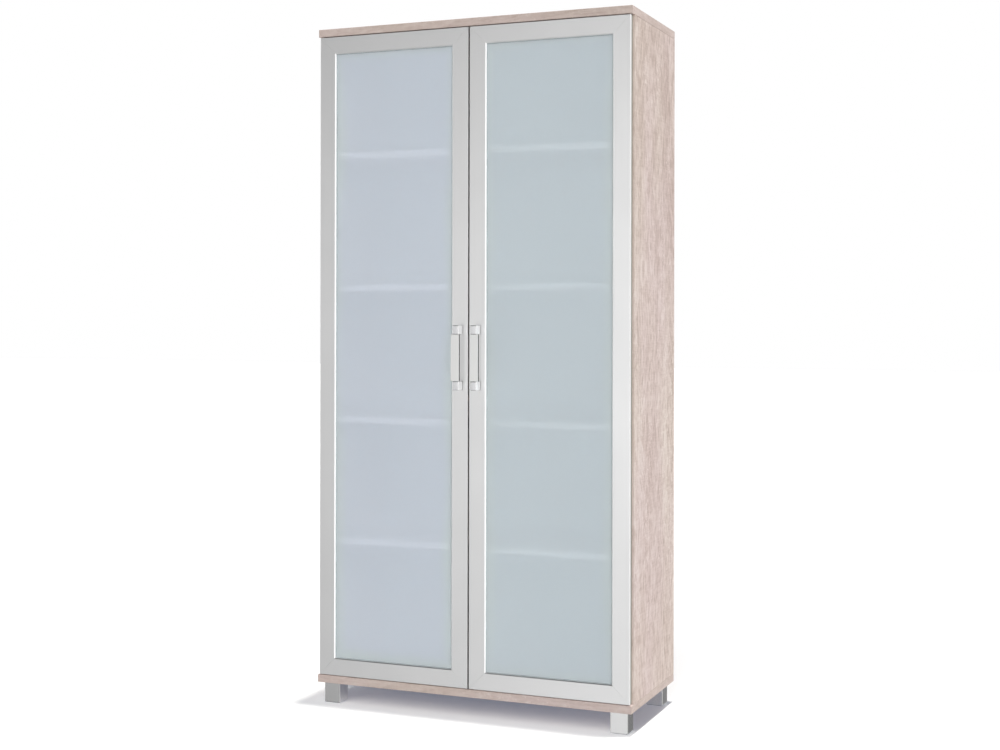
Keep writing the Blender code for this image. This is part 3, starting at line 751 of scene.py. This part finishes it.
def handlePost(side, end):
    node = side + "_handle_" + end + "_post"
    low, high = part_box(node)
    neck = handleLook["neckHeight"]
    post = startBox(side + "_" + end + "_grip_post", low, (high.x, high.y - neck, high.z))
    pick(post, lambda edge: True, "EDGE")
    bpy.ops.mesh.bevel(offset=handleLook["postRound"], segments=handleLook["postSteps"],
                       affect="EDGES")
    # a narrower neck leaves a shadow line where the post meets the door
    pick(post, looksAlong(1))
    bpy.ops.mesh.inset(thickness=handleLook["neckInset"])
    bpy.ops.mesh.extrude_region_move(TRANSFORM_OT_translate={"value": (0.0, neck, 0.0)})
    backToObject(post)
    # the pocket for the core's narrower end
    gripLow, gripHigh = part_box(side + "_handle_grip")
    room = handleLook["pocketRoom"]
    half = handleLook["tenonHalf"] + room
    middle = (gripLow.x + gripHigh.x) / 2
    front = gripLow.y + handleLook["plateThickness"] + handleLook["tenonInset"] - room
    back = gripHigh.y - handleLook["tenonInset"] + room
    pocket = startBox("pocket", (middle - half, front, gripLow.z - room),
                      (middle + half, back, gripHigh.z + room))
    cutAway(post, pocket)
    backToObject(post, handleLook["postSmooth"])
    finishPiece(post, brightPlate, side + "_door")
    post.visible_shadow = False
    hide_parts(node)


for side in sides:
    gripPlate(side)
    gripCore(side)
    for end in ("top", "bottom"):
        handlePost(side, end)
print("handles modelled")


# seals: a soft bead between each pane and its frame

sealLook = {
    "width": 0.0015,
    "depth": 0.0014,
    "round": 0.0008,
    "steps": 3,
    "room": 0.00005,
    "smooth": 50.0,            # degrees
}


def paneSeal(side):
    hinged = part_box(side + "_door_hinge_stile")
    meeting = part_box(side + "_door_meeting_stile")
    left, right = (hinged, meeting) if side == "left" else (meeting, hinged)
    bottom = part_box(side + "_door_bottom_rail")[1].z
    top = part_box(side + "_door_top_rail")[0].z
    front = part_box(side + "_door_glass")[0].y
    room = sealLook["room"]
    low = Vector((left[1].x + room, front - sealLook["depth"] - room, bottom + room))
    high = Vector((right[0].x - room, front - room, top - room))
    seal = startBox(side + "_pane_seal", low, high)
    pick(seal, lambda face: abs(face.normal.y) > squareOn)
    bpy.ops.mesh.inset(thickness=sealLook["width"])
    bpy.ops.mesh.bridge_edge_loops()
    # its front inner edge is rounded towards the pane
    halfWidth = sealLook["width"] / 2
    pick(seal, lambda edge: atHeight(edge, 1, low.y) and all(
        low.x + halfWidth < vertex.co.x < high.x - halfWidth
        and low.z + halfWidth < vertex.co.z < high.z - halfWidth for vertex in edge.verts), "EDGE")
    bpy.ops.mesh.bevel(offset=sealLook["round"], segments=sealLook["steps"], affect="EDGES")
    backToObject(seal, sealLook["smooth"])
    finishPiece(seal, sealRubber, side + "_door")


for side in sides:
    paneSeal(side)
print("pane seals modelled")


# screws: one head of each size is modelled, and the others are copies of it

screwSizes = {
    "plate": {"radius": 0.0033, "height": 0.0011},
    "arm": {"radius": 0.0038, "height": 0.0013},
    "cup": {"radius": 0.0032, "height": 0.0011},
    "handle": {"radius": 0.0041, "height": 0.0015},
    "corner": {"radius": 0.0025, "height": 0.0007},
}
screwLook = {
    "steps": 24,
    "rimSteps": 3,
    "rimRound": 0.60,          # these are shares of a head's height or radius
    "slotFloor": 0.35,
    "slotLong": 0.62,
    "slotNarrow": 0.14,
}
screwPlaces = {
    "wing": {"fromRear": 0.0310, "fromSide": 0.0028, "apart": 0.0175},    # on a hinge's plate
    "arm": {"rear": 0.0180, "front": 0.0425, "fromSide": 0.0069},
    "cup": {"fromInner": 0.0100, "apart": 0.0235},
    "corner": {"near": 0.013, "far": 0.038},                              # from a door's edges
}


def screwHead(name):
    radius = screwSizes[name]["radius"]
    height = screwSizes[name]["height"]
    head = startDisc(name + " screw", radius, height, screwLook["steps"])
    roundRim(head, height, height * screwLook["rimRound"], screwLook["rimSteps"])
    cutCross(head, height, radius * screwLook["slotLong"], radius * screwLook["slotNarrow"],
             height * screwLook["slotFloor"])
    backToObject(head)
    return head


def screwsBehindDoor(name, side, size, spots):
    placed = [(heads[size], facingMatrix(spot, (0.0, 1.0, 0.0))) for spot in spots]
    finishPiece(copyTo(name, placed), nickelSteel, side + "_door")


def hingeScrews(side, level):
    way = sides[side]
    armLow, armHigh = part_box(side + "_" + level + "_hinge_arm")
    cupLow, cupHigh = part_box(side + "_" + level + "_hinge_cup")
    z = (armLow.z + armHigh.z) / 2
    armSide = max(abs(armLow.x), abs(armHigh.x))
    wing, arm, cup = screwPlaces["wing"], screwPlaces["arm"], screwPlaces["cup"]
    inward = (-way, 0.0, 0.0)
    placed = []
    for fromRear in (arm["rear"], arm["front"]):
        spot = (way * (armSide - arm["fromSide"]), armHigh.y - fromRear, z)
        placed.append((heads["arm"], facingMatrix(spot, inward)))
    wingX = way * (armSide - wing["fromSide"])
    for up in (1, -1):
        spot = (wingX, armHigh.y - wing["fromRear"], z + up * wing["apart"])
        placed.append((heads["plate"], facingMatrix(spot, inward)))
    armScrews = copyTo(side + "_" + level + "_arm_screws", placed)
    finishPiece(armScrews, nickelSteel, "cabinet")
    cupX = way * (min(abs(cupLow.x), abs(cupHigh.x)) + cup["fromInner"])
    screwsBehindDoor(side + "_" + level + "_cup_screws", side, "cup",
                     [(cupX, cupHigh.y, z + up * cup["apart"]) for up in (1, -1)])


def doorScrews(side):
    # two behind each handle, and two at each corner of the frame
    meetingLow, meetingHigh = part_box(side + "_door_meeting_stile")
    hingeLow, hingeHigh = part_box(side + "_door_hinge_stile")
    behind = meetingHigh.y
    middle = (meetingLow.x + meetingHigh.x) / 2
    posts = [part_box(side + "_handle_" + end + "_post") for end in ("top", "bottom")]
    screwsBehindDoor(side + "_handle_screws", side, "handle",
                     [(middle, behind, (low.z + high.z) / 2) for low, high in posts])
    left = min(meetingLow.x, hingeLow.x)
    right = max(meetingHigh.x, hingeHigh.x)
    near, far = screwPlaces["corner"]["near"], screwPlaces["corner"]["far"]
    spots = []
    for edgeX, wayX in ((left, 1), (right, -1)):
        for edgeZ, wayZ in ((meetingLow.z, 1), (meetingHigh.z, -1)):
            for stepX, stepZ in ((near, far), (far, near)):
                spots.append((edgeX + wayX * stepX, behind, edgeZ + wayZ * stepZ))
    screwsBehindDoor(side + "_corner_screws", side, "corner", spots)


heads = {name: screwHead(name) for name in screwSizes}
for side in sides:
    for level in levels:
        hingeScrews(side, level)
for side in sides:
    doorScrews(side)
print("screws modelled")


# knock-down fittings: caps over the cams in the sides, bare cams under the fixed shelf

camLook = {
    "capRadius": 0.0085,
    "capHeight": 0.0008,
    "capRound": 0.00048,
    "capSteps": 3,
    "capRim": 0.0028,
    "capDish": 0.00025,
    "camRadius": 0.0074,
    "camHeight": 0.00048,
    "camRound": 0.00024,
    "camSteps": 2,
    "slotLong": 0.0042,
    "slotNarrow": 0.0008,
    "slotFloor": 0.000144,
    "steps": 32,
    "fromEnd": 0.034,
    "fromFront": 0.050,
    "fromBack": 0.056,
}


def camCap():
    cap = startDisc("cam cap", camLook["capRadius"], camLook["capHeight"], camLook["steps"])
    roundRim(cap, camLook["capHeight"], camLook["capRound"], camLook["capSteps"])
    # a shallow dish inside its rim
    pick(cap, looksAlong(2))
    bpy.ops.mesh.inset(thickness=camLook["capRim"])
    bpy.ops.mesh.extrude_region_move(
        TRANSFORM_OT_translate={"value": (0.0, 0.0, -camLook["capDish"])})
    backToObject(cap)
    return cap


def shelfCam():
    cam = startDisc("shelf cam", camLook["camRadius"], camLook["camHeight"], camLook["steps"])
    roundRim(cam, camLook["camHeight"], camLook["camRound"], camLook["camSteps"])
    cutCross(cam, camLook["camHeight"], camLook["slotLong"], camLook["slotNarrow"],
             camLook["slotFloor"])
    backToObject(cam)
    return cam


def sideCaps(side):
    way = sides[side]
    low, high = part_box("side_panel_" + side)
    face = low.x if way > 0 else high.x
    placed = []
    for y in (low.y + camLook["fromFront"], high.y - camLook["fromBack"]):
        for z in (low.z + camLook["fromEnd"], high.z - camLook["fromEnd"]):
            placed.append((cap, facingMatrix((face, y, z), (-way, 0.0, 0.0))))
    finishPiece(copyTo(side + "_cam_caps", placed), capPlastic, "cabinet")


def fixedShelfCams():
    low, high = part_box("shelf_3_fixed")
    placed = []
    for x in (low.x + camLook["fromEnd"], high.x - camLook["fromEnd"]):
        for y in (low.y + camLook["fromFront"], high.y - camLook["fromBack"]):
            placed.append((cam, facingMatrix((x, y, low.z), (0.0, 0.0, -1.0))))
    finishPiece(copyTo("fixed_shelf_cams", placed), nickelSteel, "cabinet")


cap = camCap()
cam = shelfCam()
for side in sides:
    sideCaps(side)
fixedShelfCams()
for pattern in (cap, cam, *heads.values()):
    bpy.data.objects.remove(pattern, do_unlink=True)
print("fittings modelled")


# floor

floorLook = {
    "size": 60.0,
    "roughness": 0.9,
    "seen": (0.975, 0.953, 0.894),       # to the eye and in metal, with a little painted glow to be white, which also lifts the floor's shadow to a purple grey
    "glow": (0.093, 0.114, 0.168),
    "bounce": 0.66,                      # for all other light
    "footprint": {"left": -0.600, "right": 0.462, "front": -0.174, "back": 0.205},
}


def makeFloor():
    bpy.ops.object.select_all(action="DESELECT")
    bpy.ops.mesh.primitive_plane_add(size=floorLook["size"], location=(0.0, 0.0, 0.0))
    floor = bpy.context.object
    floor.name = "studio_floor"
    material, tree, shader = newMaterial("studio floor", floorLook["roughness"])
    shader.inputs["Specular IOR Level"].default_value = 0.0
    rays = addNode(tree, "ShaderNodeLightPath").outputs
    seen = calc(tree, "MAXIMUM", rays["Is Camera Ray"], rays["Is Glossy Ray"])
    bounce = (floorLook["bounce"],) * 3
    tree.links.new(blendColours(tree, seen, (*bounce, 1.0), (*floorLook["seen"], 1.0)),
                   shader.inputs["Base Color"])
    shader.inputs["Emission Color"].default_value = (*floorLook["glow"], 1.0)
    tree.links.new(seen, shader.inputs["Emission Strength"])
    # polished metal sees the floor under the cabinet, and the room beyond it
    place = split(tree, addNode(tree, "ShaderNodeTexCoord").outputs["Object"])
    footprint = floorLook["footprint"]
    outside = 0.0
    for axis, first, last in (("X", "left", "right"), ("Y", "front", "back")):
        before = calc(tree, "LESS_THAN", place[axis], footprint[first])
        after = calc(tree, "GREATER_THAN", place[axis], footprint[last])
        outside = calc(tree, "MAXIMUM", outside, calc(tree, "MAXIMUM", before, after))
    unseen = calc(tree, "MULTIPLY", outside, rays["Is Glossy Ray"])
    clear = addNode(tree, "ShaderNodeBsdfTransparent").outputs[0]
    inputs = {0: unseen, 1: shader.outputs[0], 2: clear}
    mixed = addNode(tree, "ShaderNodeMixShader", inputs).outputs[0]
    tree.links.new(mixed, tree.nodes["Material Output"].inputs["Surface"])
    floor.data.materials.append(material)
    return floor


# room: white to the eye and through glass, and lit in its own way for metal and for plain surfaces

roomLook = {
    "slope": {"left": -0.487, "right": -0.008, "low": 0.583, "high": 3.499},
    "ahead": {"from": -0.12, "to": 0.12, "value": 1.05},
    "edgeCard": {"from": -0.55, "fullFrom": -0.40, "fullTo": -0.28, "to": -0.13,
                 "rightFrom": 0.0, "rightTo": 0.3, "value": 1.6},
    "farLeft": {"from": -0.96, "to": -0.76, "value": 1.10},
    "above": {"reach": 0.425, "value": 0.052},
    "below": {"reach": -0.278, "value": 0.428},
    "behind": {"from": -0.20, "to": 0.20, "value": 1.0},
    "rearCard": {"X": (0.05, 0.30), "Y": (0.50, 0.85), "Z": (-0.10, -0.20), "value": 0.12},
    "soft": {"full": -0.97, "end": -0.50, "front": 1.90, "around": 0.12},
}


def frontLight(tree, toward):
    # what metal sees in front: darker to the front left, brighter to the right of it
    slope = roomLook["slope"]
    light = spread(tree, toward["X"], slope["left"], slope["right"], slope["low"], slope["high"])
    # straight ahead it is plain, so that the fronts don't wash out when they are seen head-on
    ahead = roomLook["ahead"]
    light = blend(tree, spread(tree, toward["X"], ahead["from"], ahead["to"], smooth=True),
                  light, ahead["value"])
    # a narrow card at the right picks out upright edges
    card = roomLook["edgeCard"]
    rise = spread(tree, toward["Y"], card["from"], card["fullFrom"], smooth=True)
    fall = spread(tree, toward["Y"], card["fullTo"], card["to"], 1.0, 0.0, smooth=True)
    right = spread(tree, toward["X"], card["rightFrom"], card["rightTo"], 0.0, card["value"])
    light = calc(tree, "MULTIPLY_ADD", calc(tree, "MULTIPLY", rise, fall), right, light)
    farLeft = roomLook["farLeft"]
    glow = spread(tree, toward["X"], farLeft["from"], farLeft["to"], farLeft["value"], 0.0)
    light = calc(tree, "ADD", light, glow)
    # brightest at the height of the eye
    for part in ("above", "below"):
        values = roomLook[part]
        fade = spread(tree, toward["Z"], 0.0, values["reach"], 1.0, values["value"], smooth=True)
        light = calc(tree, "MULTIPLY", light, fade)
    return light


def metalLight(tree, toward):
    # the room in front, plain behind, and dark low down behind on the right
    behind = roomLook["behind"]
    light = blend(tree, spread(tree, toward["Y"], behind["from"], behind["to"], smooth=True),
                  frontLight(tree, toward), behind["value"])
    share = 1.0
    for axis in "XYZ":
        part = spread(tree, toward[axis], *roomLook["rearCard"][axis], smooth=True)
        share = calc(tree, "MULTIPLY", share, part)
    return blend(tree, share, light, roomLook["rearCard"]["value"])


def makeRoom():
    room = bpy.data.worlds.new("studio room")
    bpy.context.scene.world = room
    room.use_nodes = True
    tree = room.node_tree
    rays = addNode(tree, "ShaderNodeLightPath").outputs
    toward = split(tree, addNode(tree, "ShaderNodeTexCoord").outputs["Generated"])
    soft = roomLook["soft"]
    plainLight = spread(tree, toward["Y"], soft["full"], soft["end"], soft["front"], soft["around"],
                        smooth=True)
    lit = blend(tree, rays["Is Glossy Ray"], plainLight, metalLight(tree, toward))
    white = calc(tree, "MAXIMUM", rays["Is Camera Ray"], rays["Is Transmission Ray"])
    background = tree.nodes["Background"]
    background.inputs["Color"].default_value = (1.0, 1.0, 1.0, 1.0)
    tree.links.new(blend(tree, white, lit, 1.0), background.inputs["Strength"])


# lamps: the key lights the cabinet alone; a row of lamps from high up to the front softens the
# front edge of the floor's shadow, and the lamp overhead gives it sharp sides

lampLook = {
    "key": {"place": (4.6, -4.2, 3.2), "angle": 0.25, "power": 1.86, "lights": "cabinet"},
    "top": {"place": (0.18, 0.12, 5.0), "angle": 0.03, "power": 2.3, "lights": "all"},
    "high front": {"place": (0.0, -2.1, 4.5), "angle": 0.35, "power": 0.42, "lights": "floor"},
    "front": {"place": (0.0, -3.3, 3.7), "angle": 0.35, "power": 0.42, "lights": "floor"},
    "low front": {"place": (0.0, -4.2, 2.6), "angle": 0.35, "power": 0.42, "lights": "floor"},
}


def makeLamp(name, floor):
    values = lampLook[name]
    turn = (-Vector(values["place"])).to_track_quat("-Z", "Y").to_euler()
    bpy.ops.object.light_add(type="SUN", location=values["place"], rotation=turn)
    lamp = bpy.context.object
    lamp.name = name + " lamp"
    lamp.data.energy = values["power"]
    lamp.data.angle = values["angle"]
    lamp.visible_glossy = False      # metal reflects the room alone
    if values["lights"] != "all":
        linked = bpy.data.collections.new(name + " lights")
        linked.objects.link(floor)
        lamp.light_linking.receiver_collection = linked
        state = "INCLUDE" if values["lights"] == "floor" else "EXCLUDE"
        linked.collection_objects[0].light_linking.link_state = state


# camera

cameraLook = {
    "place": (1.7000, -4.0871, 1.1156),
    "turn": (90.0, -0.1, 22.381),        # degrees
    "lens": 54.741,
    "shift": -0.0550,
}


def makeCamera():
    bpy.ops.object.camera_add(location=cameraLook["place"],
                              rotation=[math.radians(angle) for angle in cameraLook["turn"]])
    camera = bpy.context.object
    camera.data.lens = cameraLook["lens"]
    camera.data.shift_y = cameraLook["shift"]
    bpy.context.scene.camera = camera


floor = makeFloor()
makeRoom()
for name in lampLook:
    makeLamp(name, floor)
makeCamera()
bpy.context.scene.view_settings.view_transform = "Standard"
print("floor, light and camera set")
